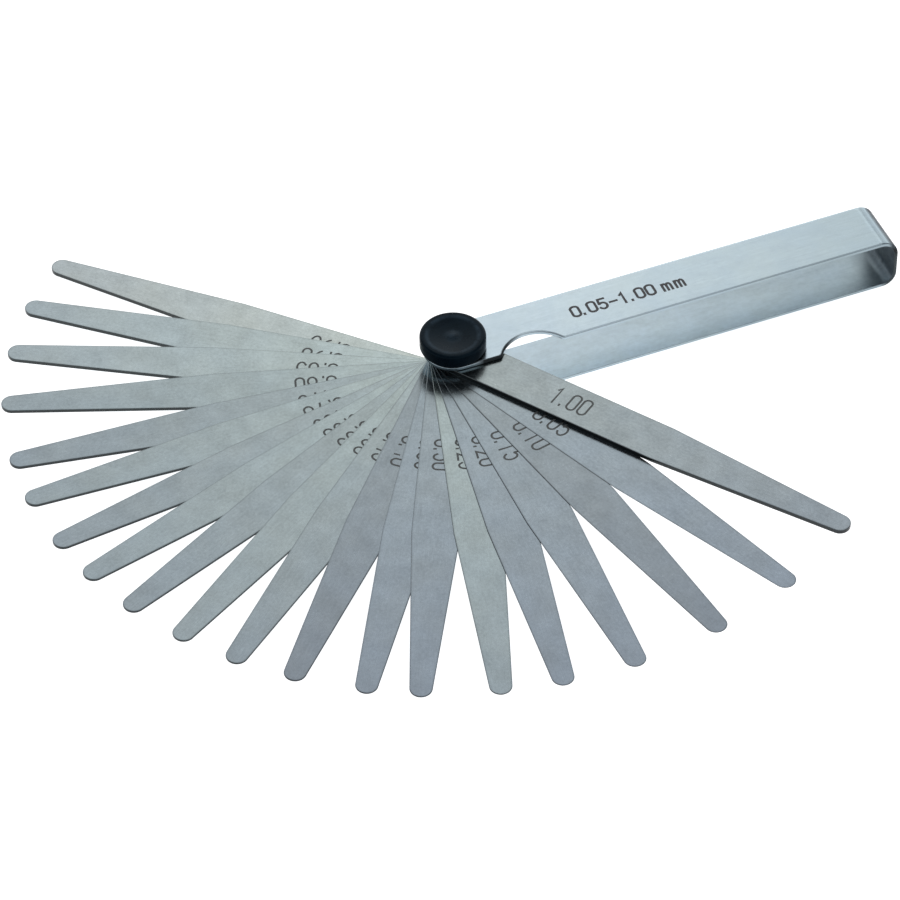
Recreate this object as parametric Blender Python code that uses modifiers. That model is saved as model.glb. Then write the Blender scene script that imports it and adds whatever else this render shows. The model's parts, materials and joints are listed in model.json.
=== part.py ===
"""Feeler gauge: twenty tapered steel leaves on a stud, in a U-bent sheath with a lock knob.

Frame: the origin is on the pivot axis, in the plane of the sheath's underside. +Z runs up the
pivot, and +X runs along the sheath from the pivot to its bend. Lengths are in metres.
"""
import math

import bmesh
import bpy

MM = 0.001

# Leaves. The stack is listed from the bottom up, and each leaf stands open by its own angle,
# turned clockwise from the sheath as seen from above.
LEAF_STACK = [
    (0.95, 225.8), (0.90, 216.8), (0.85, 207.6), (0.80, 197.6), (0.75, 186.8),
    (0.70, 179.2), (0.65, 170.4), (0.60, 163.2), (0.55, 155.4), (0.50, 147.2),
    (0.45, 139.4), (0.40, 131.6), (0.35, 122.6), (0.30, 116.0), (0.25, 106.4),
    (0.20, 98.8), (0.15, 89.6), (0.10, 78.2), (0.05, 66.8), (1.00, 55.2),
]
LEAF_LENGTH = 100 * MM          # overall, round root to tip
LEAF_WIDTH = 10 * MM
LEAF_TIP_RADIUS = 2.3 * MM
LEAF_TAPER_START = 51 * MM      # from the pivot axis
LEAF_GAP = 0.02 * MM            # oil film between neighbours

# Sheath, one bent strip.
SHEET = 0.8 * MM
SHEATH_WIDTH = 12.8 * MM
SHEATH_HEIGHT = 12.7 * MM
SHEATH_REACH = 100.6 * MM       # pivot axis to the outside of the bend
BEND_RADIUS_TOP = 4.2 * MM      # outer radii of the two corners of the bend
BEND_RADIUS_BOTTOM = 3.2 * MM
NOTCH_RADIUS = 7.9 * MM         # thumb notch in the upper leg
NOTCH_X = 15.5 * MM
NOTCH_OFFSET = 3.7 * MM         # how far the notch's centre is outside the leg's edge
NOTCH_SHOULDER = 1.2 * MM

# Stud: flush head, smooth barrel, M4 thread.
STUD_HEAD_RADIUS = 3.4 * MM
STUD_HEAD_HEIGHT = 0.45 * MM
BARREL_RADIUS = 2.5 * MM
BARREL_TOP = 11.2 * MM
THREAD_RADIUS = 1.95 * MM
THREAD_TOP = 15.3 * MM
THREAD_CHAMFER = 0.3 * MM

# Lock knob, its threaded insert and its captive washer.
KNOB_RADIUS = 7 * MM
KNOB_BOTTOM = 13.3 * MM
KNOB_TOP = 16.35 * MM
KNOB_RIM_FILLET = 0.6 * MM
KNOB_FOOT_CHAMFER = 0.25 * MM
DISH_RADIUS = 5.3 * MM
DISH_DEPTH = 0.45 * MM
BOSS_RADIUS = 1.6 * MM
BOSS_HEIGHT = 0.12 * MM
INSERT_RADIUS = 3.2 * MM
INSERT_TOP = 15.4 * MM
SPIGOT_RADIUS = 2.45 * MM
SPIGOT_BOTTOM = 12.8 * MM
WASHER_RADIUS = 4.5 * MM
WASHER_BOTTOM = 12.75 * MM
WASHER_THICKNESS = 0.5 * MM

# Clearances.
SEAT_GAP = 0.05 * MM            # between faces that rest on each other
PRESS_GAP = 0.03 * MM           # radial, round pieces that are pressed in
RUNNING_GAP = 0.06 * MM         # radial, leaf on barrel
THREAD_GAP = 0.05 * MM
LEG_HOLE_GAP = 0.2 * MM         # radial, thread through the upper leg

ARC_STEPS = 18                  # segments in a half circle of an outline
TIP_STEPS = 8
HOLE_STEPS = 28
TURN_STEPS = 48
KNOB_STEPS = 64
WELD = 0.001 * MM


def clear_scene():
    for thing in list(bpy.data.objects):
        bpy.data.objects.remove(thing, do_unlink=True)


def new_collection(name):
    collection = bpy.data.collections.new(name)
    bpy.context.scene.collection.children.link(collection)
    return collection


def material(name, color, metallic, roughness):
    mat = bpy.data.materials.new(name)
    mat.use_nodes = True
    shader = mat.node_tree.nodes["Principled BSDF"]
    shader.inputs["Base Color"].default_value = (*color, 1.0)
    shader.inputs["Metallic"].default_value = metallic
    shader.inputs["Roughness"].default_value = roughness
    return mat


def arc(cx, cy, radius, start, end, steps):
    """Points on an arc, both ends included; angles in degrees."""
    points = []
    for i in range(steps + 1):
        angle = math.radians(start + (end - start) * i / steps)
        points.append((cx + radius * math.cos(angle), cy + radius * math.sin(angle)))
    return points


def plate(name, loops, bottom, thickness, collection):
    """A flat plate from closed outlines in XY; inner outlines become holes."""
    curve = bpy.data.curves.new(name, "CURVE")
    curve.dimensions = "2D"
    curve.fill_mode = "BOTH"
    curve.extrude = thickness / 2
    for loop in loops:
        spline = curve.splines.new("POLY")
        spline.points.add(len(loop) - 1)
        for point, (x, y) in zip(spline.points, loop):
            point.co = (x, y, 0, 1)
        spline.use_cyclic_u = True
    outline = bpy.data.objects.new(name + "_outline", curve)
    outline.location.z = bottom + thickness / 2
    collection.objects.link(outline)
    return outline


def to_mesh(outline, name, collection):
    """Turn a curve object into a welded mesh object in the same place."""
    bpy.context.view_layer.update()
    depsgraph = bpy.context.evaluated_depsgraph_get()
    mesh = bpy.data.meshes.new_from_object(outline.evaluated_get(depsgraph))
    mesh.name = name
    bm = bmesh.new()
    bm.from_mesh(mesh)
    bmesh.ops.remove_doubles(bm, verts=bm.verts, dist=WELD)
    bmesh.ops.recalc_face_normals(bm, faces=bm.faces)
    bm.to_mesh(mesh)
    bm.free()
    piece = bpy.data.objects.new(name, mesh)
    piece.matrix_world = outline.matrix_world
    collection.objects.link(piece)
    bpy.data.objects.remove(outline, do_unlink=True)
    return piece


def turned(name, profile, steps, collection, closed):
    """A turned piece: a profile in XZ, outer side running down, spun about Z."""
    mesh = bpy.data.meshes.new(name)
    edges = [(i, i + 1) for i in range(len(profile) - 1)]
    if closed:
        edges.append((len(profile) - 1, 0))
    mesh.from_pydata([(x, 0, z) for x, z in profile], edges, [])
    piece = bpy.data.objects.new(name, mesh)
    collection.objects.link(piece)
    spin = piece.modifiers.new("turn", "SCREW")
    spin.steps = steps
    spin.render_steps = steps
    spin.use_merge_vertices = True
    spin.merge_threshold = WELD
    spin.use_smooth_shade = True
    return piece


def ring_profile(inner, outer, bottom, top):
    return [(outer, top), (outer, bottom), (inner, bottom), (inner, top)]


def as_cutter(piece):
    piece.hide_render = True
    piece.display_type = "WIRE"


def boolean(piece, cutter, operation):
    step = piece.modifiers.new(operation.lower(), "BOOLEAN")
    step.operation = operation
    step.object = cutter
    step.solver = "EXACT"


def hole(name, radius, bottom, top, collection):
    """A round cutter on the pivot axis."""
    cutter = turned(name, [(0, top), (radius, top), (radius, bottom), (0, bottom)],
                    TURN_STEPS, collection, False)
    as_cutter(cutter)
    return cutter


def leaf_outline():
    """A leaf lying along +X: round root, parallel sides, straight taper, round tip."""
    half = LEAF_WIDTH / 2
    tip_center = LEAF_LENGTH - half - LEAF_TIP_RADIUS
    run = tip_center - LEAF_TAPER_START
    reach = math.hypot(run, half)
    slope = math.degrees(math.asin(LEAF_TIP_RADIUS / reach) - math.atan2(half, run))
    side = 90 + slope               # where the taper meets the tip circle
    loop = arc(0, 0, half, 270, 90, ARC_STEPS)
    loop.append((LEAF_TAPER_START, half))
    loop += arc(tip_center, 0, LEAF_TIP_RADIUS, side, -side, TIP_STEPS)
    loop.append((LEAF_TAPER_START, -half))
    return loop


def make_leaves(collection, steel):
    outline = leaf_outline()
    bore = arc(0, 0, BARREL_RADIUS + RUNNING_GAP, 0, 360 - 360 / HOLE_STEPS, HOLE_STEPS - 1)
    bottom = SHEET + RUNNING_GAP
    for thickness_mm, opened in LEAF_STACK:
        name = f"leaf_{thickness_mm:.2f}".replace(".", "_")
        thickness = thickness_mm * MM
        leaf = to_mesh(plate(name, [outline, bore], bottom, thickness, collection), name, collection)
        leaf.rotation_euler.z = -math.radians(opened)
        leaf.data.materials.append(steel)
        bottom += thickness + LEAF_GAP


def sheath_section():
    """The bent strip seen from the side, in X and height, as one closed outline."""
    end = -SHEATH_WIDTH
    top_x = SHEATH_REACH - BEND_RADIUS_TOP
    top_z = SHEATH_HEIGHT - BEND_RADIUS_TOP
    bottom_x = SHEATH_REACH - BEND_RADIUS_BOTTOM
    loop = [(end, SHEATH_HEIGHT)]
    loop += arc(top_x, top_z, BEND_RADIUS_TOP, 90, 0, ARC_STEPS)
    loop += arc(bottom_x, BEND_RADIUS_BOTTOM, BEND_RADIUS_BOTTOM, 0, -90, ARC_STEPS)
    loop += [(end, 0), (end, SHEET)]
    loop += arc(bottom_x, BEND_RADIUS_BOTTOM, BEND_RADIUS_BOTTOM - SHEET, -90, 0, ARC_STEPS)
    loop += arc(top_x, top_z, BEND_RADIUS_TOP - SHEET, 0, 90, ARC_STEPS)
    loop.append((end, SHEATH_HEIGHT - SHEET))
    return loop


def notch_outline():
    """The thumb notch: a large arc with a small round shoulder at each end."""
    edge = -SHEATH_WIDTH / 2
    center_y = edge - NOTCH_OFFSET
    rise = NOTCH_OFFSET + NOTCH_SHOULDER
    span = math.sqrt((NOTCH_RADIUS + NOTCH_SHOULDER) ** 2 - rise ** 2)
    lean = math.degrees(math.atan2(rise, span))
    shoulder_y = edge + NOTCH_SHOULDER
    steps = ARC_STEPS // 3
    loop = arc(NOTCH_X - span, shoulder_y, NOTCH_SHOULDER, 270, 360 - lean, steps)
    loop += arc(NOTCH_X, center_y, NOTCH_RADIUS, 180 - lean, lean, ARC_STEPS)[1:]
    loop += arc(NOTCH_X + span, shoulder_y, NOTCH_SHOULDER, 180 + lean, 270, steps)[1:]
    outside = center_y - NOTCH_RADIUS
    loop += [(NOTCH_X + span, outside), (NOTCH_X - span, outside)]
    return loop


def make_sheath(collection, cutters, zinc):
    extra = SHEATH_WIDTH / 2        # blank and cutters run past the finished strip
    blank = plate("sheath", [sheath_section()], 0, SHEATH_WIDTH + 2 * extra, collection)
    blank.location = (0, 0, 0)
    blank.rotation_euler.x = math.radians(90)
    sheath = to_mesh(blank, "sheath", collection)

    half = SHEATH_WIDTH / 2
    plan = arc(0, 0, half, 270, 90, ARC_STEPS * 2)
    plan += [(SHEATH_REACH + extra, half), (SHEATH_REACH + extra, -half)]
    strip = plate("strip_plan", [plan], -extra, SHEATH_HEIGHT + 2 * extra, cutters)
    strip = to_mesh(strip, "strip_plan", cutters)
    notch = plate("notch", [notch_outline()], SHEATH_HEIGHT / 2, SHEATH_HEIGHT, cutters)
    notch = to_mesh(notch, "notch", cutters)
    seat_top = STUD_HEAD_HEIGHT + SEAT_GAP
    head_seat = hole("head_seat", STUD_HEAD_RADIUS + PRESS_GAP, -extra, seat_top, cutters)
    lower_hole = hole("lower_hole", BARREL_RADIUS + PRESS_GAP, 0, SHEATH_HEIGHT / 4, cutters)
    upper_hole = hole("upper_hole", THREAD_RADIUS + LEG_HOLE_GAP,
                      SHEATH_HEIGHT / 2, SHEATH_HEIGHT + extra, cutters)
    boolean(sheath, strip, "INTERSECT")
    for cutter in (strip, notch):
        as_cutter(cutter)
    for cutter in (notch, head_seat, lower_hole, upper_hole):
        boolean(sheath, cutter, "DIFFERENCE")
    sheath.data.materials.append(zinc)


def make_stud(collection, steel):
    profile = [
        (0, THREAD_TOP),
        (THREAD_RADIUS - THREAD_CHAMFER, THREAD_TOP),
        (THREAD_RADIUS, THREAD_TOP - THREAD_CHAMFER),
        (THREAD_RADIUS, BARREL_TOP),
        (BARREL_RADIUS, BARREL_TOP),
        (BARREL_RADIUS, STUD_HEAD_HEIGHT),
        (STUD_HEAD_RADIUS, STUD_HEAD_HEIGHT),
        (STUD_HEAD_RADIUS, 0),
        (0, 0),
    ]
    stud = turned("pivot_stud", profile, TURN_STEPS, collection, False)
    stud.data.materials.append(steel)


def make_washer(collection, steel):
    profile = ring_profile(SPIGOT_RADIUS + THREAD_GAP, WASHER_RADIUS,
                           WASHER_BOTTOM, WASHER_BOTTOM + WASHER_THICKNESS)
    washer = turned("knob_washer", profile, TURN_STEPS, collection, True)
    washer.data.materials.append(steel)


def make_insert(collection, brass):
    bore = THREAD_RADIUS + THREAD_GAP
    profile = [
        (bore, INSERT_TOP),
        (INSERT_RADIUS, INSERT_TOP),
        (INSERT_RADIUS, KNOB_BOTTOM),
        (SPIGOT_RADIUS, KNOB_BOTTOM),
        (SPIGOT_RADIUS, SPIGOT_BOTTOM),
        (bore, SPIGOT_BOTTOM),
    ]
    insert = turned("knob_insert", profile, TURN_STEPS, collection, True)
    insert.data.materials.append(brass)


def make_knob(collection, plastic):
    """A low disc with a rounded rim, a shallow dished top and a blind seat for the insert."""
    sag = DISH_DEPTH
    sphere = (DISH_RADIUS ** 2 + sag ** 2) / (2 * sag)      # radius of the dish's surface
    floor = KNOB_TOP - sag
    dish_edge = math.degrees(math.asin(DISH_RADIUS / sphere))
    boss_edge = math.degrees(math.asin(BOSS_RADIUS / sphere))
    dish_from_boss = arc(0, floor + sphere, sphere, 270 + boss_edge, 270 + dish_edge, 5)
    boss_top = dish_from_boss[0][1] + BOSS_HEIGHT
    rim = arc(KNOB_RADIUS - KNOB_RIM_FILLET, KNOB_TOP - KNOB_RIM_FILLET, KNOB_RIM_FILLET, 90, 0, 4)
    seat = INSERT_RADIUS + PRESS_GAP
    seat_top = INSERT_TOP + SEAT_GAP
    profile = [(0, boss_top), (BOSS_RADIUS - BOSS_HEIGHT, boss_top)]
    profile += dish_from_boss + rim
    profile += [
        (KNOB_RADIUS, KNOB_BOTTOM + KNOB_FOOT_CHAMFER),
        (KNOB_RADIUS - KNOB_FOOT_CHAMFER, KNOB_BOTTOM),
        (seat, KNOB_BOTTOM),
        (seat, seat_top),
        (0, seat_top),
    ]
    knob = turned("lock_knob", profile, KNOB_STEPS, collection, False)
    knob.data.materials.append(plastic)


def main():
    clear_scene()
    gauge = new_collection("feeler_gauge")
    cutters = new_collection("cutters")
    leaf_steel = material("leaf_steel", (0.42, 0.44, 0.44), 1.0, 0.38)
    zinc_plate = material("zinc_plate", (0.62, 0.68, 0.72), 1.0, 0.28)
    stud_steel = material("stud_steel", (0.50, 0.50, 0.49), 1.0, 0.32)
    brass = material("brass", (0.70, 0.52, 0.22), 1.0, 0.35)
    black_plastic = material("black_plastic", (0.012, 0.014, 0.018), 0.0, 0.42)
    make_sheath(gauge, cutters, zinc_plate)
    make_stud(gauge, stud_steel)
    make_leaves(gauge, leaf_steel)
    make_washer(gauge, stud_steel)
    make_insert(gauge, brass)
    make_knob(gauge, black_plastic)


main()
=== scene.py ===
"""Looks of the feeler gauge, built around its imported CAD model.

Sizes in the constants below are in millimetres unless their name says otherwise; the meshes are in
metres. Heights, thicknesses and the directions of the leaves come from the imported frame.
"""

import json
import math

import bmesh
import bpy
from mathutils import Euler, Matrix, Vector
from mathutils.geometry import delaunay_2d_cdt


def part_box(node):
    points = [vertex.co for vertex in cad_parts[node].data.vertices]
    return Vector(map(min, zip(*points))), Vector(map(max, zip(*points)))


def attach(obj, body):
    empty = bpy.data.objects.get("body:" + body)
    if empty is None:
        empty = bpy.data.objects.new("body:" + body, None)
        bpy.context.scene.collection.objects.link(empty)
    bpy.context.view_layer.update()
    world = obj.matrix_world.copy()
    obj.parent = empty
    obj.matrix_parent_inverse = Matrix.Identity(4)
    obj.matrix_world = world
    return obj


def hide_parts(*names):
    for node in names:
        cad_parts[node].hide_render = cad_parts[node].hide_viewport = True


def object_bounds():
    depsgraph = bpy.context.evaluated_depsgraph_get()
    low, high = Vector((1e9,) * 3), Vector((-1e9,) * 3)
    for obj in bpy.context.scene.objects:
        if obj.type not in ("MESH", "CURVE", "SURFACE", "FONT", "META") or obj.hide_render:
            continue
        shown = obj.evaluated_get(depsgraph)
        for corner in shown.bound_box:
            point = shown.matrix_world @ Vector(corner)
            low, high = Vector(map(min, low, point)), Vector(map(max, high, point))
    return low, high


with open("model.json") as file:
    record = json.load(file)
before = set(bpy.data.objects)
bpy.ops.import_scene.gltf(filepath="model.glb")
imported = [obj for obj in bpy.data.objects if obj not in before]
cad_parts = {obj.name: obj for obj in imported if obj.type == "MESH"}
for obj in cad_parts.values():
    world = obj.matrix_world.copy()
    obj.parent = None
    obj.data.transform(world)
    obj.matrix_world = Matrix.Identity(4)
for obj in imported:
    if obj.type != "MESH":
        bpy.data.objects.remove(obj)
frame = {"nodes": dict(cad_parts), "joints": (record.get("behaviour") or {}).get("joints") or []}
CAD_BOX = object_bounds()
MM = 0.001

# Camera, at the photograph's viewing angle.
CAMERA_PLACE_M = (-0.24168, -0.61136, 0.64846)
CAMERA_TURN_DEG = (44.604, 0.628, -22.124)
CAMERA_LENS = 174.92
SENSOR_WIDTH = 36

# Studio: a room whose light depends on the direction only, four softboxes, and the floor.
ROOM_COLOR = (0.905, 0.93, 0.96, 1)
HORIZON_LIGHT = 1.0
ROOM_LIGHT = 0.305              # high in the room
ROOM_LEVEL = 0.58               # sine of the elevation from which the room is as dim as that
SHADE_LIGHT = 0.6               # share that is left where the photographer stands
SHADE_DEG = (24, 40)            # that shade ends between these angles from its middle
KEY_PLACE_M = tuple(Vector((0.14, 0.97, 0.76)).normalized() * 1.7)
WHITE = (1, 1, 1)
SOFTBOXES = (                   # name, place and size in metres, radiance, colour
    ("softbox_back", KEY_PLACE_M, (1.6, 1.3), 0.78, (1.0, 0.98, 0.955)),
    ("softbox_top", (0.4, 0.0, 1.9), (1.5, 1.3), 0.6, WHITE),
    ("fill_front", (0.42, -1.1, 1.05), (1.1, 0.9), 0.42, WHITE),
    ("softbox_right", (1.15, 1.22, 0.72), (1.3, 1.25), 0.7, WHITE),
)
FLOOR_HALF_M = 3.0
FLOOR_GAP_M = 0.0002
FLOOR_GLOW = 0.85

# Leaves.
LEAF_LENGTH = 100.0
LEAF_WIDTH = 10.0
TIP_RADIUS = 2.3
TAPER_START = 51.0
LEAF_HOLE = 2.56                # radius, as are the sheath's holes and the head's seat
LEAF_EDGE = 0.12                # width of the rounded edge
LEAF_EDGE_SHARE = 0.42          # of the thickness, the most that an edge may round off
LEAF_RIM = 0.45                 # width of the strip along the edge where the burnished darkening and its painted shade fade in
LEAF_STATIONS = (12.0, 25.0, 38.0, TAPER_START)     # points along the straight sides

# Marks on the leaves.
MARK_START = 24.7               # from the pivot axis
MARK_BASE = -2.0
MARK_HEIGHT = 4.55
MARK_WIDTH = 1.85
MARK_STROKE = 0.45
MARK_PITCH = 2.62
MARK_DEPTH = 0.012
MARK_DEPTH_SHARE = 0.25         # of the thickness, the most that a mark may be deep

# Sheath.
SHEET = 0.8
SHEATH_WIDTH = 12.8
SHEATH_REACH = 100.6            # from the pivot axis to the bend's outer face
BEND_TOP = 4.2
BEND_BOTTOM = 3.2
SHEATH_EDGE = (0.42, 0.20)      # rounding of the outer face's edges: across, and in depth
SHEATH_INNER_EDGE = (0.12, 0.12)
SHEATH_RIM = 0.9                # width of the strip along the edge where the edge value, and with it the painted shade and the darker cut edge, fade out
BEND_ROWS = 16                  # segments in each of the two bends
BLEND = 0.4                     # smooth shading reaches this far onto the flat legs
NOTCH_RADIUS = 7.9
NOTCH_X = 15.5                  # its centre, along the sheath
NOTCH_OFFSET = 3.7              # how far outside the edge its centre lies
NOTCH_SHOULDER = 1.2            # rounding where it meets the edge
UPPER_HOLE = 2.15
UPPER_HOLE_EDGE = 0.08
LOWER_HOLE = 2.53
LOWER_HOLE_EDGE = 0.05
HEAD_SEAT = 3.43
HEAD_SEAT_DEPTH = 0.5
HEAD_SEAT_EDGE = 0.04
PRINT_TEXT = "0.05-1.00 mm"
PRINT_START = 27.0
PRINT_BASE = -1.6
PRINT_HEIGHT = 3.0
PRINT_WIDTH = 1.72
PRINT_STROKE = 0.58
PRINT_PITCH = 2.42
PRINT_DEPTH = 0.004

# Knob.
KNOB_RIM = 0.6                  # rounding of the top's outer edge
KNOB_FOOT = 0.25                # rounding of the lower edge
DISH_RADIUS = 5.5
DISH_DEPTH = 0.45
DISH_LIP = 0.15                 # width of the bevel at the dish's edge
DISH_LIP_STEP = 0.03            # how far the bevel's foot lies under the dish's own edge
DISH_STEPS = 8
BOSS_RADIUS = 1.7               # the low swelling in the middle of the dish
BOSS_HEIGHT = 0.12
BOSS_STEPS = 9
INSERT_GAP = 0.05               # about the insert, so that no two faces lie in one plane
INSERT_EDGE = 0.1

CURVE_STEPS = 48                # segments in a plate's round end, and in a hole
EDGE_STEPS = 4                  # segments in a rounded edge
EDGE_START = 0.45               # edge value where the flat face ends; it is 1 on the side wall
TURN_STEPS = 128
SHARP_DEG = 32                  # a turned piece's edges are sharp from this angle


# ---------------------------------------------------------------- outlines

def arc(cx, cy, radius, start, end, steps):
    """Points on a circle, from one angle to another in degrees."""
    points = []
    for i in range(steps + 1):
        angle = math.radians(start + (end - start) * i / steps)
        points.append((cx + radius * math.cos(angle), cy + radius * math.sin(angle)))
    return points


def side_normals(loop):
    """Normals that point to the right of travel: outwards for a loop that runs anticlockwise."""
    normals = []
    for i, here in enumerate(loop):
        back, ahead = loop[i - 1], loop[(i + 1) % len(loop)]
        normal = Vector((ahead[1] - back[1], back[0] - ahead[0])).normalized()
        normals.append((normal.x, normal.y))
    return normals


def leaf_outline():
    """A round root about the pivot, straight sides, a taper, and a round tip."""
    half = LEAF_WIDTH / 2
    tip = LEAF_LENGTH - half - TIP_RADIUS
    run = tip - TAPER_START
    slope = math.degrees(math.asin(TIP_RADIUS / math.hypot(run, half)) - math.atan2(half, run))
    side = 90 + slope
    loop = arc(0, 0, half, 90, 270, CURVE_STEPS)
    loop += [(x, -half) for x in LEAF_STATIONS]
    loop += arc(tip, 0, TIP_RADIUS, -side, side, CURVE_STEPS // 2)
    loop += [(x, half) for x in reversed(LEAF_STATIONS)]
    return loop


def circle(radius):
    """Clockwise, so that its side normals point into the hole."""
    return arc(0, 0, radius, 0, -360 + 360 / CURVE_STEPS, CURVE_STEPS - 1)


def rounded_section(top, bottom, upper, lower=None, rim=None):
    """The edge of a plate from the top face round to the bottom: (offset, height, edge value).

    Upper and lower are the roundings of the two corners, each as its width and its depth. The edge
    value fades to zero over the rim.
    """
    section = [(-rim, top, 0.0)] if rim else []
    width, depth = upper
    turns = [math.pi / 2 * i / EDGE_STEPS for i in range(EDGE_STEPS + 1)]
    for turn in turns:
        edge = EDGE_START + (1 - EDGE_START) * turn / turns[-1]
        section.append((width * (math.sin(turn) - 1), top - depth * (1 - math.cos(turn)), edge))
    width, depth = lower or upper
    for turn in reversed(turns):
        edge = EDGE_START + (1 - EDGE_START) * turn / turns[-1]
        section.append((width * (math.sin(turn) - 1), bottom + depth * (1 - math.cos(turn)), edge))
    if rim:
        section.append((-rim, bottom, 0.0))
    return section


# ---------------------------------------------------------------- lettering, single strokes

def bow(cx, cy, rx, ry, start, end, steps=10):
    """Points on an ellipse, from one angle to another in degrees."""
    return [(cx + rx * math.cos(math.radians(start + (end - start) * i / steps)),
             cy + ry * math.sin(math.radians(start + (end - start) * i / steps)))
            for i in range(steps + 1)]


# Each glyph lies in a cell one wide and one high.
GLYPHS = {
    "0": [bow(0.5, 0.80, 0.5, 0.20, 180, 0) + bow(0.5, 0.20, 0.5, 0.20, 0, -90, 5),
          bow(0.5, 0.20, 0.5, 0.20, 270, 180, 5) + [(0.0, 0.81)]],
    "1": [[(0.22, 0.84), (0.5, 1.0), (0.5, 0.0)]],
    "2": [bow(0.5, 0.72, 0.46, 0.28, 170, -25) + [(0.04, 0.0), (1.0, 0.0)]],
    "3": [bow(0.48, 0.76, 0.42, 0.24, 155, -85), bow(0.48, 0.27, 0.5, 0.27, 88, -155)],
    "4": [[(0.78, 0.0), (0.78, 1.0), (0.0, 0.3), (1.0, 0.3)]],
    "5": [[(0.92, 1.0), (0.16, 1.0), (0.08, 0.56)], bow(0.48, 0.31, 0.5, 0.31, 132, -150, 14)],
    "6": [bow(1.0, 0.3, 1.0, 0.7, 108, 180, 7), bow(0.5, 0.3, 0.5, 0.3, 180, -5),
          bow(0.5, 0.3, 0.5, 0.3, 5, -185)],
    "7": [[(0.0, 1.0), (1.0, 1.0), (0.36, 0.0)]],
    "8": [bow(0.5, 0.76, 0.42, 0.24, 185, -5), bow(0.5, 0.76, 0.42, 0.24, 5, -185),
          bow(0.5, 0.27, 0.5, 0.27, 185, -5), bow(0.5, 0.27, 0.5, 0.27, 5, -185)],
    "9": [bow(0.0, 0.7, 1.0, 0.7, -72, 0, 7), bow(0.5, 0.7, 0.5, 0.3, 185, -5),
          bow(0.5, 0.7, 0.5, 0.3, 5, -185)],
    ".": [[(0.0, 0.0), (0.0, 0.06)]],
    "-": [[(0.08, 0.45), (0.92, 0.45)]],
    "m": [[(0.0, 0.0), (0.0, 0.66)],
          [(0.0, 0.45)] + bow(0.27, 0.45, 0.27, 0.22, 150, 0, 6) + [(0.54, 0.0)],
          [(0.54, 0.45)] + bow(0.81, 0.45, 0.27, 0.22, 150, 0, 6) + [(1.08, 0.0)]],
    " ": [],
}
NARROW = {".": 0.55, " ": 0.5, "m": 1.2}       # advance, as a share of the pitch


def stroke_polygon(line, half):
    """A polyline thickened to a closed outline."""
    left, right = [], []
    for i, here in enumerate(line):
        before = Vector(line[max(i - 1, 0)])
        after = Vector(line[min(i + 1, len(line) - 1)])
        here = Vector(here)
        steps = [v.normalized() for v in (here - before, after - here) if v.length > 1e-9]
        along = sum(steps, Vector((0, 0))).normalized()
        if i == 0:
            here = here - along * half
        if i == len(line) - 1:
            here = here + along * half
        mitre = half / max(along.dot(steps[0]), 0.5)        # no longer than twice the half width
        across = Vector((-along.y, along.x)) * mitre
        left.append(tuple(here + across))
        right.append(tuple(here - across))
    return left + right[::-1]


def lettering(text, start, base, height, width, stroke, pitch):
    """Outlines of the strokes of a line of text that reads along +X."""
    outlines = []
    cursor = start
    for letter in text:
        for line in GLYPHS[letter]:
            placed = [(cursor + x * width, base + y * height) for x, y in line]
            outlines.append(stroke_polygon(placed, stroke / 2))
        cursor += pitch * NARROW.get(letter, 1.0)
    return outlines


# ---------------------------------------------------------------- meshes

def winding(loop):
    """Twice the signed area: positive where the loop runs anticlockwise."""
    return sum(a[0] * b[1] - b[0] * a[1] for a, b in zip(loop, loop[1:] + loop[:1]))


def fill_cap(bm, coords, rings, place, height, up, cuts, marks, flat):
    """Fill a plate's face between its rings with triangles.

    Returns the triangles, and those of them that lie inside the marks. Cuts are pairs of points of
    the outer ring that an edge must join, so that the face can bend along them.
    """
    points, faces = [], []
    for loop in coords + list(marks):
        indices = list(range(len(points), len(points) + len(loop)))
        faces.append(indices if winding(loop) > 0 else indices[::-1])
        points += [Vector(p) for p in loop]
    owners = [vert for ring in rings for vert in ring]
    holes = set(range(1, len(coords)))
    first_mark = len(coords)
    out, _, tris, source, _, parents = delaunay_2d_cdt(points, list(cuts), faces, 1, 1e-6, True)
    made = []
    for point, origins in zip(out, source):
        known = [i for i in origins if i < len(owners)]
        made.append(owners[known[0]] if known else bm.verts.new(place(point.x, point.y, height)))
    triangles, marked = [], []
    for tri, parent in zip(tris, parents):
        inside = set(parent)
        if 0 not in inside or inside & holes:
            continue
        corners = [made[i] for i in tri]
        if len(set(corners)) < 3:
            continue
        face = bm.faces.new(corners if up else corners[::-1])
        face.smooth = not flat([out[i].x for i in tri])
        triangles.append(face)
        if any(i >= first_mark for i in inside):
            marked.append(face)
    return triangles, marked


def sink_faces(bm, faces, sink):
    """Lower these faces and wall in the hollow, all in the second material.

    It is built face by face, and not with Blender's extrusion, whose result comes in another order
    each run.
    """
    lowered = {}
    for face in faces:
        for vert in face.verts:
            if vert not in lowered:
                lowered[vert] = bm.verts.new(vert.co + sink)
    inside = set(faces)
    for face in faces:
        made = [bm.faces.new([lowered[vert] for vert in face.verts])]
        for loop in face.loops:
            if any(other not in inside for other in loop.edge.link_faces):
                a, b = loop.vert, loop.link_loop_next.vert
                made.append(bm.faces.new((a, b, lowered[b], lowered[a])))
        for new in made:
            new.material_index = 1
            new.smooth = False
    bmesh.ops.delete(bm, geom=faces, context="FACES")


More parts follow.
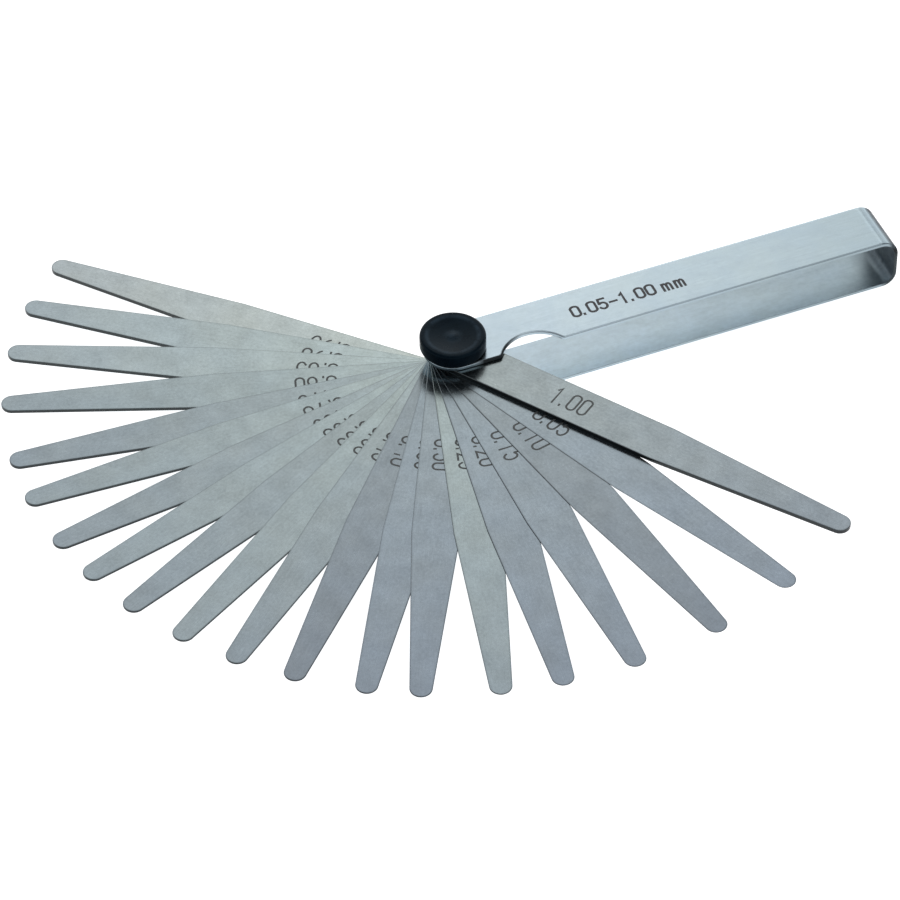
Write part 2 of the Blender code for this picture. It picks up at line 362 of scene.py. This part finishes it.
def build_plate(name, loops, place, cuts=(), marks=(), sink=None, flat=lambda xs: True, under=0):
    """A plate from closed outlines, each with its own edge section, laid out flat and then placed.

    The first loop is the outside. Marks are sunk into the top face and use the second material;
    under is the material of the bottom face.
    """
    bm = bmesh.new()
    edge_layer = bm.verts.layers.float.new("edge")
    tops, bottoms, top_rings, bottom_rings = [], [], [], []
    for points, section in loops:
        normals = side_normals(points)
        rows = []
        for offset, height, edge in section:
            flat_row = [(x + nx * offset, y + ny * offset)
                        for (x, y), (nx, ny) in zip(points, normals)]
            row = []
            for x, y in flat_row:
                vert = bm.verts.new(place(x, y, height))
                vert[edge_layer] = edge
                row.append(vert)
            rows.append((row, flat_row, height))
        for (upper, line, z0), (lower, _, z1) in zip(rows, rows[1:]):
            level = abs(z0 - z1) < 1e-9
            for i in range(len(upper)):
                j = (i + 1) % len(upper)
                face = bm.faces.new((upper[i], lower[i], lower[j], upper[j]))
                face.smooth = not (level and flat([line[i][0], line[j][0]]))
                face.material_index = under if level and lower is rows[-1][0] else 0
        top_rings.append(rows[0][0])
        bottom_rings.append(rows[-1][0])
        tops.append(rows[0][1])
        bottoms.append(rows[-1][1])
    outer_section = loops[0][1]
    top, bottom = outer_section[0][1], outer_section[-1][1]
    _, marked = fill_cap(bm, tops, top_rings, place, top, True, cuts, marks, flat)
    for face in fill_cap(bm, bottoms, bottom_rings, place, bottom, False, cuts, (), flat)[0]:
        face.material_index = under
    if marked:
        sink_faces(bm, marked, sink)
    for face in bm.faces:
        if not face.smooth:
            for edge in face.edges:
                edge.smooth = False
    bmesh.ops.recalc_face_normals(bm, faces=bm.faces)
    return finish_mesh(name, bm)


def finish_mesh(name, bm):
    """Make the object that holds the mesh, and link it to the scene."""
    mesh = bpy.data.meshes.new(name)
    bm.to_mesh(mesh)
    bm.free()
    piece = bpy.data.objects.new(name, mesh)
    bpy.context.scene.collection.objects.link(piece)
    return piece


def turned(name, profile):
    """A piece turned about the pivot.

    The profile is of (radius, height), from the axis over the top and down the outside to the axis.
    """
    bm = bmesh.new()
    rings = []
    for radius, height in profile:
        if radius < 1e-6:
            rings.append([bm.verts.new((0, 0, height * MM))])
            continue
        turns = [2 * math.pi * i / TURN_STEPS for i in range(TURN_STEPS)]
        rings.append([bm.verts.new((radius * MM * math.cos(turn), radius * MM * math.sin(turn),
                                    height * MM)) for turn in turns])
    for upper, lower in zip(rings, rings[1:]):
        for i in range(TURN_STEPS):
            j = (i + 1) % TURN_STEPS
            corners = [upper[i % len(upper)], lower[i % len(lower)],
                       lower[j % len(lower)], upper[j % len(upper)]]
            corners = [c for k, c in enumerate(corners) if c not in corners[:k]]
            bm.faces.new(corners).smooth = True
    bmesh.ops.recalc_face_normals(bm, faces=bm.faces)
    for edge in bm.edges:
        if len(edge.link_faces) == 2 and edge.calc_face_angle() > math.radians(SHARP_DEG):
            edge.smooth = False
    return finish_mesh(name, bm)


# ---------------------------------------------------------------- materials

def new_material(name):
    """A material, its node tree and its Principled shader."""
    mat = bpy.data.materials.new(name)
    mat.use_nodes = True
    tree = mat.node_tree
    return mat, tree, tree.nodes["Principled BSDF"]


def node(tree, kind, links=(), **values):
    """Add a node; values set its properties, or its sockets where the name starts with a capital."""
    made = tree.nodes.new(kind)
    for key, value in values.items():
        if key[0].isupper():
            made.inputs[key.replace("_", " ")].default_value = value
        else:
            setattr(made, key, value)
    for socket, source in links:
        tree.links.new(source, made.inputs[socket])
    return made


def local_coordinates(tree, scale=(1, 1, 1)):
    """The object's own coordinates, in metres, which turn with a leaf."""
    place = node(tree, "ShaderNodeTexCoord").outputs["Object"]
    return node(tree, "ShaderNodeMapping", [("Vector", place)], Scale=scale).outputs[0]


def separate(tree, vector):
    return tuple(node(tree, "ShaderNodeSeparateXYZ", [("Vector", vector)]).outputs)


def edge_value(tree):
    """The plates' own attribute: 0 on the flat faces and 1 on the side walls."""
    return node(tree, "ShaderNodeAttribute", attribute_name="edge").outputs["Fac"]


def noise(tree, vector, scale, detail=2.0, rough=0.5):
    return node(tree, "ShaderNodeTexNoise", [("Vector", vector)],
                Scale=scale, Detail=detail, Roughness=rough).outputs["Fac"]


def remap(tree, value, low, high, to_low, to_high):
    made = node(tree, "ShaderNodeMapRange", [("Value", value)])
    for key, number in zip(("From Min", "From Max", "To Min", "To Max"), (low, high, to_low, to_high)):
        made.inputs[key].default_value = number
    return made.outputs["Result"]


def vary(tree, value, low, high):
    """A noise, which seldom leaves 0.3 to 0.7, made to run from low to high."""
    return remap(tree, value, 0.3, 0.7, low, high)


def ramp(tree, value, span, full=1.0):
    """0 at the span's first end and full at its second; the span may run backwards."""
    return remap(tree, value, *span, 0, full)


def math_node(tree, operation, a, b):
    made = node(tree, "ShaderNodeMath", operation=operation)
    for socket, value in zip(made.inputs, (a, b)):
        if isinstance(value, (int, float)):
            socket.default_value = value
        else:
            tree.links.new(value, socket)
    return made.outputs[0]


def add(tree, a, b):
    return math_node(tree, "ADD", a, b)


def times(tree, a, b):
    return math_node(tree, "MULTIPLY", a, b)


def larger(tree, a, b):
    return math_node(tree, "MAXIMUM", a, b)


def axis_distance(tree, x, y):
    """Distance from the pivot axis."""
    return math_node(tree, "SQRT", add(tree, times(tree, x, x), times(tree, y, y)), 0.0)


def mix_color(tree, factor, a, b, blend="MIX"):
    made = node(tree, "ShaderNodeMix", data_type="RGBA", blend_type=blend)
    for index, value in ((0, factor), (6, a), (7, b)):      # the sockets of the colour mix
        if isinstance(value, (int, float)):
            made.inputs[index].default_value = value
        elif isinstance(value, tuple):
            made.inputs[index].default_value = (*value, 1.0)
        else:
            tree.links.new(value, made.inputs[index])
    return made.outputs[2]


def scaled(color, share):
    return tuple(min(c * share, 1.0) for c in color)


def bump(tree, shader, height, strength, distance):
    made = node(tree, "ShaderNodeBump", [("Height", height)], Strength=strength, Distance=distance)
    tree.links.new(made.outputs["Normal"], shader.inputs["Normal"])


LAYER_STRETCH = 400             # of heights, so that leaves on top of each other don't look alike
STEEL_STAIN = (1.0, 0.97, 0.92)
ROOT_TINT = (1.0, 1.0, 0.95)
TIP_TINT = (0.84, 0.84, 0.865)
TINT_SPAN_M = (0.010, 0.095)    # from the root's tint to the tip's, along the leaf
# Burnished edges, made darker still with painted shade that stands in for the gaps and shadows between
# the leaves.
STEEL_DIRT_AND_SHADE = (0.024, 0.025, 0.025)
STEEL_DIRT_AND_SHADE_POWER = 1.6          # how fast the burnished darkening and painted shade grow toward the side wall
STEEL_DIRT_AND_SHADE_SHARE = 0.94


def leaf_steel(name, tint, rough):
    """Ground spring steel: cloudy mottling, fine grain along the leaf, darker edges that are burnished
    and carry painted shade of the gaps between the leaves.
    """
    mat, tree, shader = new_material(name)
    here = local_coordinates(tree, (1, 1, LAYER_STRETCH))
    along = local_coordinates(tree, (0.06, 1, LAYER_STRETCH))
    cloud = noise(tree, here, 210, 3.0, 0.6)
    mottle = noise(tree, here, 1500, 2.0, 0.6)
    grain = noise(tree, along, 5200, 2.0, 0.6)
    shade = add(tree, vary(tree, cloud, -0.10, 0.10), vary(tree, mottle, -0.09, 0.09))
    shade = add(tree, shade, vary(tree, grain, -0.05, 0.05))
    color = mix_color(tree, add(tree, shade, 0.5), scaled(tint, 0.55), scaled(tint, 1.45))
    stain = remap(tree, noise(tree, here, 90, 2.0, 0.5), 0.35, 0.65, 0, 0.5)
    color = mix_color(tree, stain, color, STEEL_STAIN, "MULTIPLY")
    length = separate(tree, local_coordinates(tree))[0]
    # Darker and bluer toward the tip.
    root_to_tip_tint = mix_color(tree, ramp(tree, length, TINT_SPAN_M), ROOT_TINT, TIP_TINT)
    color = mix_color(tree, 1.0, color, root_to_tip_tint, "MULTIPLY")
    # Darker toward the side wall: burnished edge and painted shade.
    dirt_and_shade = math_node(tree, "POWER", edge_value(tree), STEEL_DIRT_AND_SHADE_POWER)
    color = mix_color(tree, times(tree, dirt_and_shade, STEEL_DIRT_AND_SHADE_SHARE), color, STEEL_DIRT_AND_SHADE)
    tree.links.new(color, shader.inputs["Base Color"])
    shader.inputs["Metallic"].default_value = 1.0
    tree.links.new(add(tree, vary(tree, mottle, rough - 0.03, rough + 0.03),
                       vary(tree, cloud, -0.03, 0.03)), shader.inputs["Roughness"])
    bump(tree, shader, add(tree, grain, mottle), 0.25, 0.00001)
    return mat


def ink(name, color, rough):
    """Etched or printed marks, worn paler in places."""
    mat, tree, shader = new_material(name)
    worn = noise(tree, local_coordinates(tree), 2600, 3.0, 0.65)
    tree.links.new(mix_color(tree, remap(tree, worn, 0.35, 0.75, 0, 0.5), color, scaled(color, 2.6)),
                   shader.inputs["Base Color"])
    tree.links.new(vary(tree, worn, rough - 0.08, rough + 0.08), shader.inputs["Roughness"])
    bump(tree, shader, worn, 0.2, 0.00001)
    return mat


ZINC_SHADES = ((0.475, 0.575, 0.645), (0.51, 0.605, 0.65))
ZINC_FALLOFF_SHADE = (0.67, 0.69, 0.69)      # painted shade: the zinc's colour is multiplied by this toward the bend, where less light falls
# Painted shade along the bend's fold and inside it.
ZINC_BEND_SHADE = (0.035, 0.042, 0.055)
# Painted shade on the edges by the pivot and at the bend, and the cut side walls a little darker.
ZINC_EDGE_DARK_AND_SHADE = (0.010, 0.011, 0.011)

# Where the zinc is painted darker as painted shade: each span is from none to full, in metres.
FALLOFF_SHADE_SPAN = (0.020, 0.095)
PIVOT_SHADE_X = ((0.0020, 0.0045), (0.0150, 0.0105))
PIVOT_SHADE_Y = (0.0005, -0.0015)
PIVOT_SHADE_Z = (0.0100, 0.0115)
BEND_EDGE_SHADE_X = (0.0965, 0.0985)
BEND_EDGE_SHADE_Z = (0.0118, 0.0100)
SHADE_EDGE_SPAN = (0.40, 0.62)           # edge values between which the painted shade sets in


def zinc_painted_shade(tree, here, edge):
    """Painted shade on the front upper edge by the pivot, and on the edges of the bend."""
    x, y, z = separate(tree, here)
    along = times(tree, *(ramp(tree, x, span) for span in PIVOT_SHADE_X))
    front = times(tree, ramp(tree, y, PIVOT_SHADE_Y), ramp(tree, z, PIVOT_SHADE_Z))
    by_pivot = times(tree, along, front)
    by_bend = times(tree, ramp(tree, x, BEND_EDGE_SHADE_X, 0.9), ramp(tree, z, BEND_EDGE_SHADE_Z))
    return times(tree, ramp(tree, edge, SHADE_EDGE_SPAN, 0.95), larger(tree, by_pivot, by_bend))


def plated_zinc(name, rough, blotch, bend_shade_x, bend_shade_z, bend_shade, matte):
    """Zinc plate with a bluish cast, faint rolling lines and cloudy blotches.

    Blotch is how strong the blotches are. The colour is painted darker toward the bend as painted
    shade, and painted shade lies on the edges by the pivot and at the bend. Bend_shade_x and
    bend_shade_z are the spans, in metres, over which the painted shade of the bend's fold sets in
    along the sheath and in height, and bend_shade is its strength. Matte is how much of the metal's
    shine that shade takes away.
    """
    mat, tree, shader = new_material(name)
    here = local_coordinates(tree)
    cloud = noise(tree, here, 120, 3.0, 0.55)
    spangle = noise(tree, here, 900, 3.0, 0.6)
    lines = noise(tree, local_coordinates(tree, (0.03, 1, 1)), 2600, 2.0, 0.6)
    smear = noise(tree, local_coordinates(tree, (0.35, 1, 1)), 420, 4.0, 0.7)
    blue = mix_color(tree, vary(tree, cloud, 0, 1), *ZINC_SHADES)
    shade = add(tree, vary(tree, spangle, 1 - 0.05 * blotch, 1 + 0.03 * blotch),
                vary(tree, lines, -0.03, 0.02))
    shade = add(tree, shade, remap(tree, smear, 0.4, 0.7, 0.0, -0.09 * blotch))
    gray = node(tree, "ShaderNodeCombineColor", [(channel, shade) for channel in range(3)])
    color = mix_color(tree, 1.0, blue, gray.outputs[0], "MULTIPLY")
    x, _, z = separate(tree, here)
    # Painted shade: the colour darkens toward the bend.
    color = mix_color(tree, ramp(tree, x, FALLOFF_SHADE_SPAN), color, ZINC_FALLOFF_SHADE, "MULTIPLY")
    # Painted shade of the bend's fold.
    bend = times(tree, ramp(tree, x, bend_shade_x, bend_shade), remap(tree, smear, 0.35, 0.6, 1.0, 0.7))
    bend = times(tree, bend, ramp(tree, z, bend_shade_z))
    color = mix_color(tree, bend, color, ZINC_BEND_SHADE)
    edge = edge_value(tree)
    # Painted shade by the pivot and at the bend; the cut side walls a little darker.
    painted_edge_shade = zinc_painted_shade(tree, here, edge)
    rubbed_edge_and_highlight = times(tree, math_node(tree, "POWER", edge, 4.0), 0.20)
    color = mix_color(tree, larger(tree, painted_edge_shade, rubbed_edge_and_highlight), color, ZINC_EDGE_DARK_AND_SHADE)
    tree.links.new(color, shader.inputs["Base Color"])
    dull = larger(tree, ramp(tree, bend, (0.0, 0.66), matte), painted_edge_shade)
    tree.links.new(math_node(tree, "SUBTRACT", 1.0, dull), shader.inputs["Metallic"])
    shader.inputs["Specular IOR Level"].default_value = 0.03
    tree.links.new(add(tree, vary(tree, cloud, rough - 0.02, rough + 0.03),
                       vary(tree, spangle, -0.02, 0.02)), shader.inputs["Roughness"])
    bump(tree, shader, add(tree, spangle, lines), 0.1, 0.000003)
    return mat


PLASTIC_SHADES = ((0.0012, 0.0035, 0.007), (0.003, 0.008, 0.014))
# Painted highlights on the dish's lip and on the swelling in its middle.
PLASTIC_HIGHLIGHT = (0.022, 0.036, 0.052)
PLASTIC_SHEEN = (0.45, 0.78, 1.0, 1.0)
LIP_HIGHLIGHT_M = ((-0.0007, -0.0001), (0.0006, 0.0001))     # each side of the dish's lip
MIDDLE_HIGHLIGHT_M = (0.0024, 0.0006)


def moulded_plastic(name):
    """Black plastic with a fine grain, painted a little paler on the dish's lip and its middle as
    painted highlights.
    """
    mat, tree, shader = new_material(name)
    here = local_coordinates(tree)
    grain = noise(tree, here, 4200, 2.0, 0.6)
    cloud = noise(tree, here, 420, 3.0, 0.6)
    radius = axis_distance(tree, *separate(tree, here)[:2])
    lip = DISH_RADIUS * MM
    ring = times(tree, *(ramp(tree, radius, (lip + a, lip + b)) for a, b in LIP_HIGHLIGHT_M))
    middle = ramp(tree, radius, MIDDLE_HIGHLIGHT_M)
    # Painted highlight on the lip and the middle.
    rubbed_edge_and_highlight = times(tree, larger(tree, ring, middle), remap(tree, cloud, 0.35, 0.6, 0.25, 1.0))
    plain = mix_color(tree, vary(tree, cloud, 0, 1), *PLASTIC_SHADES)
    tree.links.new(mix_color(tree, rubbed_edge_and_highlight, plain, PLASTIC_HIGHLIGHT), shader.inputs["Base Color"])
    shader.inputs["Specular IOR Level"].default_value = 0.11
    shader.inputs["Specular Tint"].default_value = PLASTIC_SHEEN
    tree.links.new(add(tree, vary(tree, cloud, 0.24, 0.34), vary(tree, grain, -0.03, 0.03)),
                   shader.inputs["Roughness"])
    bump(tree, shader, grain, 0.35, 0.00002)
    return mat


def turned_metal(name, color, rough):
    """Metal off a lathe: fine rings about the pivot axis."""
    mat, tree, shader = new_material(name)
    here = local_coordinates(tree)
    x, y, z = separate(tree, here)
    place = node(tree, "ShaderNodeCombineXYZ", [("X", axis_distance(tree, x, y)), ("Z", z)])
    rings = noise(tree, place.outputs[0], 9000, 3.0, 0.6)
    cloud = noise(tree, here, 500, 3.0, 0.6)
    shade = mix_color(tree, vary(tree, cloud, 0, 1), scaled(color, 0.86), color)
    tree.links.new(mix_color(tree, vary(tree, rings, 0, 0.3), shade, scaled(color, 0.7)),
                   shader.inputs["Base Color"])
    shader.inputs["Metallic"].default_value = 1.0
    tree.links.new(vary(tree, rings, rough - 0.06, rough + 0.08), shader.inputs["Roughness"])
    bump(tree, shader, rings, 0.3, 0.00002)
    return mat


# ---------------------------------------------------------------- leaves

# Tint and roughness of each batch of steel, from the palest to the darkest.
STEEL_TINTS = {
    "pale": ((0.448, 0.510, 0.524), 0.22),
    "light": ((0.396, 0.471, 0.498), 0.22),
    "plain": ((0.349, 0.418, 0.447), 0.22),
    "gray": ((0.323, 0.385, 0.420), 0.21),
    "sage": ((0.308, 0.360, 0.394), 0.22),
    "blue": ((0.294, 0.351, 0.405), 0.22),
    "dark": ((0.270, 0.318, 0.362), 0.23),
}
LEAF_TINT = {
    "1.00": "sage", "0.05": "blue", "0.10": "dark", "0.15": "blue", "0.20": "blue",
    "0.25": "plain", "0.30": "blue", "0.35": "blue", "0.40": "dark", "0.45": "gray",
    "0.50": "plain", "0.55": "gray", "0.60": "plain", "0.65": "gray", "0.70": "plain",
    "0.75": "gray", "0.80": "plain", "0.85": "light", "0.90": "light", "0.95": "pale",
}


def flat_place(x, y, height):
    """Leaves are flat already: only the unit changes."""
    return (x * MM, y * MM, height * MM)


steels = {tint: leaf_steel("leaf_steel_" + tint, *values) for tint, values in STEEL_TINTS.items()}
etch = ink("etched_mark", (0.072, 0.078, 0.078), 0.6)

for joint in frame["joints"]:
    leaf_name = joint["child"]
    if not leaf_name.startswith("leaf_"):
        continue
    low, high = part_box(leaf_name)
    bottom, top = low.z / MM, high.z / MM
    thickness = top - bottom
    mark = leaf_name[len("leaf_"):].replace("_", ".")
    depth = min(LEAF_EDGE, thickness * LEAF_EDGE_SHARE)
    section = rounded_section(top, bottom, (LEAF_EDGE, depth), rim=LEAF_RIM)
    hole_section = rounded_section(top, bottom, (depth / 2, depth / 2))
    marks = lettering(mark, MARK_START, MARK_BASE, MARK_HEIGHT, MARK_WIDTH, MARK_STROKE, MARK_PITCH)
    mark_depth = min(MARK_DEPTH, thickness * MARK_DEPTH_SHARE)
    leaf = build_plate(leaf_name + "_look",
                       [(leaf_outline(), section), (circle(LEAF_HOLE), hole_section)],
                       flat_place, marks=marks, sink=Vector((0, 0, -mark_depth * MM)))
    leaf.data.materials.append(steels[LEAF_TINT[mark]])
    leaf.data.materials.append(etch)
    leaf.rotation_euler.z = -math.radians(joint["range_deg"][1])
    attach(leaf, leaf_name)
    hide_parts(leaf_name)


# ---------------------------------------------------------------- sheath

# The sheath is laid out as a flat strip, measured along its outer face from the upper leg's pivot.
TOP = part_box("sheath")[1].z / MM
SEAM_TOP = SHEATH_REACH - BEND_TOP          # where the upper leg meets its bend
SEAM_BOTTOM = SHEATH_REACH - BEND_BOTTOM
UPRIGHT = TOP - BEND_TOP - BEND_BOTTOM      # the straight wall between the two bends
LENGTH_TOP = BEND_TOP * math.pi / 2
LENGTH_BOTTOM = BEND_BOTTOM * math.pi / 2
BEND_1_END = SEAM_TOP + LENGTH_TOP
BEND_2_START = BEND_1_END + UPRIGHT
BEND_2_END = BEND_2_START + LENGTH_BOTTOM
FAR_PIVOT = BEND_2_END + SEAM_BOTTOM        # the lower leg's pivot
UPPER_STATIONS = (20.0, 40.0, 60.0, 80.0)   # points along the upper leg's straight sides


def bend_place(s, y, height):
    """From the flat strip to the bent sheath. Height runs from the inner face to the outer one."""
    inset = SHEET - height
    if s <= SEAM_TOP:
        x, z = s, TOP - inset
    elif s <= BEND_1_END:
        angle = math.pi / 2 - (s - SEAM_TOP) / BEND_TOP
        x = SEAM_TOP + (BEND_TOP - inset) * math.cos(angle)
        z = TOP - BEND_TOP + (BEND_TOP - inset) * math.sin(angle)
    elif s <= BEND_2_START:
        x, z = SHEATH_REACH - inset, TOP - BEND_TOP - (s - BEND_1_END)
    elif s <= BEND_2_END:
        angle = -(s - BEND_2_START) / BEND_BOTTOM
        x = SEAM_BOTTOM + (BEND_BOTTOM - inset) * math.cos(angle)
        z = BEND_BOTTOM + (BEND_BOTTOM - inset) * math.sin(angle)
    else:
        x, z = SEAM_BOTTOM - (s - BEND_2_END), inset
    return (x * MM, y * MM, z * MM)


def strip_rows():
    """Stations along the strip where it needs edges across, so that it can bend."""
    rows = [SEAM_TOP - BLEND]
    rows += [SEAM_TOP + LENGTH_TOP * i / BEND_ROWS for i in range(BEND_ROWS + 1)]
    rows += [BEND_2_START + LENGTH_BOTTOM * i / BEND_ROWS for i in range(BEND_ROWS + 1)]
    rows.append(BEND_2_END + BLEND)
    return rows


def notch_curve():
    """The thumb notch's edge, from the pivot's side to the bend's side."""
    edge = -SHEATH_WIDTH / 2
    rise = NOTCH_OFFSET + NOTCH_SHOULDER
    span = math.sqrt((NOTCH_RADIUS + NOTCH_SHOULDER) ** 2 - rise ** 2)
    lean = math.degrees(math.atan2(rise, span))
    shoulder = edge + NOTCH_SHOULDER
    curve = arc(NOTCH_X - span, shoulder, NOTCH_SHOULDER, 270, 360 - lean, 8)
    curve += arc(NOTCH_X, edge - NOTCH_OFFSET, NOTCH_RADIUS, 180 - lean, lean, 36)[1:]
    curve += arc(NOTCH_X + span, shoulder, NOTCH_SHOULDER, 180 + lean, 270, 8)[1:]
    return curve


def strip_outline():
    """Anticlockwise from the upper leg's round end, past the notch, to the lower leg's and back."""
    half = SHEATH_WIDTH / 2
    rows = strip_rows()
    loop = arc(0, 0, half, 90, 270, CURVE_STEPS)
    loop += notch_curve() + [(s, -half) for s in UPPER_STATIONS[1:]]
    loop += [(s, -half) for s in rows]
    loop += arc(FAR_PIVOT, 0, half, -90, 90, CURVE_STEPS)
    loop += [(s, half) for s in reversed(rows)]
    loop += [(s, half) for s in reversed(UPPER_STATIONS)]
    return loop


def on_leg(xs):
    """Whether a face with corners at these stations lies on a flat leg, and not on the bend."""
    middle = sum(xs) / len(xs)
    return middle < SEAM_TOP - BLEND or middle > BEND_2_END + BLEND


def row_cuts(points):
    """The pairs of outline points that face each other across the strip at each of its rows."""
    ends = {round(s, 6): [] for s in strip_rows()}
    for i, (s, y) in enumerate(points):
        if round(s, 6) in ends and abs(abs(y) - SHEATH_WIDTH / 2) < 1e-6:
            ends[round(s, 6)].append(i)
    return [tuple(pair) for pair in ends.values()]


def lower_hole_section():
    """The stud's head sits in a counterbore in the outer face; the bore goes through what is left."""
    seat = HEAD_SEAT - LOWER_HOLE
    floor = SHEET - HEAD_SEAT_DEPTH
    return [(-seat - HEAD_SEAT_EDGE, SHEET, 0.0), (-seat, SHEET - HEAD_SEAT_EDGE, 0.0),
            (-seat, floor, 0.0), (0.0, floor, 0.0),
            (0.0, LOWER_HOLE_EDGE, 0.0), (-LOWER_HOLE_EDGE, 0.0, 0.0)]


outline = strip_outline()
sheath_loops = [
    (outline, rounded_section(SHEET, 0.0, SHEATH_EDGE, SHEATH_INNER_EDGE, SHEATH_RIM)),
    (circle(UPPER_HOLE), rounded_section(SHEET, 0.0, (UPPER_HOLE_EDGE, UPPER_HOLE_EDGE))),
    ([(x + FAR_PIVOT, y) for x, y in circle(LOWER_HOLE)], lower_hole_section()),
]
print_marks = lettering(PRINT_TEXT, PRINT_START, PRINT_BASE, PRINT_HEIGHT, PRINT_WIDTH,
                        PRINT_STROKE, PRINT_PITCH)
sheath = build_plate("sheath_look", sheath_loops, bend_place, cuts=row_cuts(outline),
                     marks=print_marks, sink=Vector((0, 0, -PRINT_DEPTH * MM)), flat=on_leg, under=2)
# The outer finish gets a painted shade line along the fold; the inside gets painted shade toward the
# fold.
for finish in (
    plated_zinc("plated_zinc", rough=0.20, blotch=0.5, bend_shade_x=(0.0981, 0.0991),
                bend_shade_z=(0.0080, 0.0092), bend_shade=0.98, matte=1.0),
    ink("printed_ink", (0.03, 0.03, 0.035), 0.45),
    plated_zinc("plated_zinc_inside", rough=0.38, blotch=1.5, bend_shade_x=(0.0935, 0.0980),
                bend_shade_z=(-0.001, 0.002), bend_shade=0.80, matte=0.26),
):
    sheath.data.materials.append(finish)
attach(sheath, "sheath")
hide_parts("sheath")


# ---------------------------------------------------------------- knob

def knob_profile(radius, bottom, top, bore_radius, bore_top):
    """Half section of the knob: boss, dish, lip, rounded rim, foot, and the insert's bore."""
    sphere = (DISH_RADIUS ** 2 + DISH_DEPTH ** 2) / (2 * DISH_DEPTH)
    floor = top - DISH_DEPTH
    dish = []
    for i in range(DISH_STEPS + 1):
        r = BOSS_RADIUS + (DISH_RADIUS - BOSS_RADIUS) * i / DISH_STEPS
        dish.append((r, floor + sphere - math.sqrt(sphere ** 2 - r ** 2)))
    profile = []
    for i in range(BOSS_STEPS):             # a low swelling, level at its middle and at its foot
        share = i / BOSS_STEPS
        rise = BOSS_HEIGHT * (0.5 + 0.5 * math.cos(math.pi * share))
        profile.append((BOSS_RADIUS * share, dish[0][1] + rise))
    profile += dish[:-1]
    profile += [(DISH_RADIUS - DISH_LIP / 2, dish[-1][1] - DISH_LIP_STEP),
                (DISH_RADIUS + DISH_LIP / 2, top)]
    profile += arc(radius - KNOB_RIM, top - KNOB_RIM, KNOB_RIM, 90, 0, 8)
    profile += arc(radius - KNOB_FOOT, bottom + KNOB_FOOT, KNOB_FOOT, 0, -90, 4)
    profile += [(bore_radius + INSERT_EDGE, bottom), (bore_radius, bottom + INSERT_EDGE),
                (bore_radius, bore_top), (0, bore_top)]
    return profile


knob_low, knob_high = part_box("lock_knob")
insert_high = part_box("knob_insert")[1]
knob = turned("lock_knob_look",
              knob_profile(knob_high.x / MM, knob_low.z / MM, knob_high.z / MM,
                           insert_high.x / MM + INSERT_GAP, insert_high.z / MM + INSERT_GAP))
knob.data.materials.append(moulded_plastic("black_plastic_grain"))
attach(knob, "knob")
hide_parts("lock_knob")

# These keep their CAD shapes and get a better finish.
for cad_node, finish in (("knob_insert", turned_metal("turned_brass", (0.72, 0.53, 0.24), 0.32)),
                         ("knob_washer", turned_metal("washer_steel", (0.60, 0.61, 0.60), 0.34)),
                         ("pivot_stud", turned_metal("stud_steel_turned", (0.56, 0.56, 0.55), 0.30))):
    for slot in frame["nodes"][cad_node].material_slots:
        slot.material = finish


# ---------------------------------------------------------------- floor, light, camera

def area_light(name, place, size, radiance, color):
    """A soft box that points at the pivot."""
    data = bpy.data.lights.new(name, "AREA")
    data.shape = "RECTANGLE"
    data.size, data.size_y = size
    data.energy = radiance * math.pi * size[0] * size[1]
    data.color = color
    lamp = bpy.data.objects.new(name, data)
    lamp.location = place
    lamp.rotation_euler = (Vector((0, 0, 0)) - Vector(place)).to_track_quat("-Z", "Y").to_euler()
    lamp.visible_camera = False
    bpy.context.scene.collection.objects.link(lamp)


def studio_world():
    """A pale room, brightest at the horizon, and shaded where the photographer stands."""
    world = bpy.data.worlds.new("studio_world")
    world.use_nodes = True
    tree = world.node_tree
    background = tree.nodes["Background"]
    direction = node(tree, "ShaderNodeTexCoord").outputs["Generated"]
    shaded = node(tree, "ShaderNodeVectorMath", [(0, direction)], operation="DOT_PRODUCT")
    shaded.inputs[1].default_value = Vector(CAMERA_PLACE_M).normalized()
    inner, outer = (math.cos(math.radians(angle)) for angle in SHADE_DEG)
    room = remap(tree, shaded.outputs["Value"], outer, inner, 1.0, SHADE_LIGHT)
    height = separate(tree, direction)[2]
    room = times(tree, room, remap(tree, height, 0.0, ROOM_LEVEL, HORIZON_LIGHT, ROOM_LIGHT))
    background.inputs["Color"].default_value = ROOM_COLOR
    tree.links.new(room, background.inputs["Strength"])
    bpy.context.scene.world = world


def floor_plane():
    bm = bmesh.new()
    bmesh.ops.create_grid(bm, x_segments=1, y_segments=1, size=FLOOR_HALF_M)
    floor = finish_mesh("floor", bm)
    mat, _, shader = new_material("floor_white")
    shader.inputs["Base Color"].default_value = (0.9, 0.9, 0.9, 1)
    shader.inputs["Roughness"].default_value = 0.9
    shader.inputs["Emission Color"].default_value = (1, 1, 1, 1)
    shader.inputs["Emission Strength"].default_value = FLOOR_GLOW
    floor.data.materials.append(mat)
    floor.location.z = CAD_BOX[0][2] - FLOOR_GAP_M


def photo_camera():
    data = bpy.data.cameras.new("camera")
    data.lens = CAMERA_LENS
    data.sensor_width = SENSOR_WIDTH
    camera = bpy.data.objects.new("camera", data)
    camera.location = CAMERA_PLACE_M
    camera.rotation_euler = Euler([math.radians(a) for a in CAMERA_TURN_DEG])
    bpy.context.scene.collection.objects.link(camera)
    bpy.context.scene.camera = camera
    bpy.context.scene.view_settings.view_transform = "Standard"


floor_plane()
studio_world()
for softbox in SOFTBOXES:
    area_light(*softbox)
photo_camera()
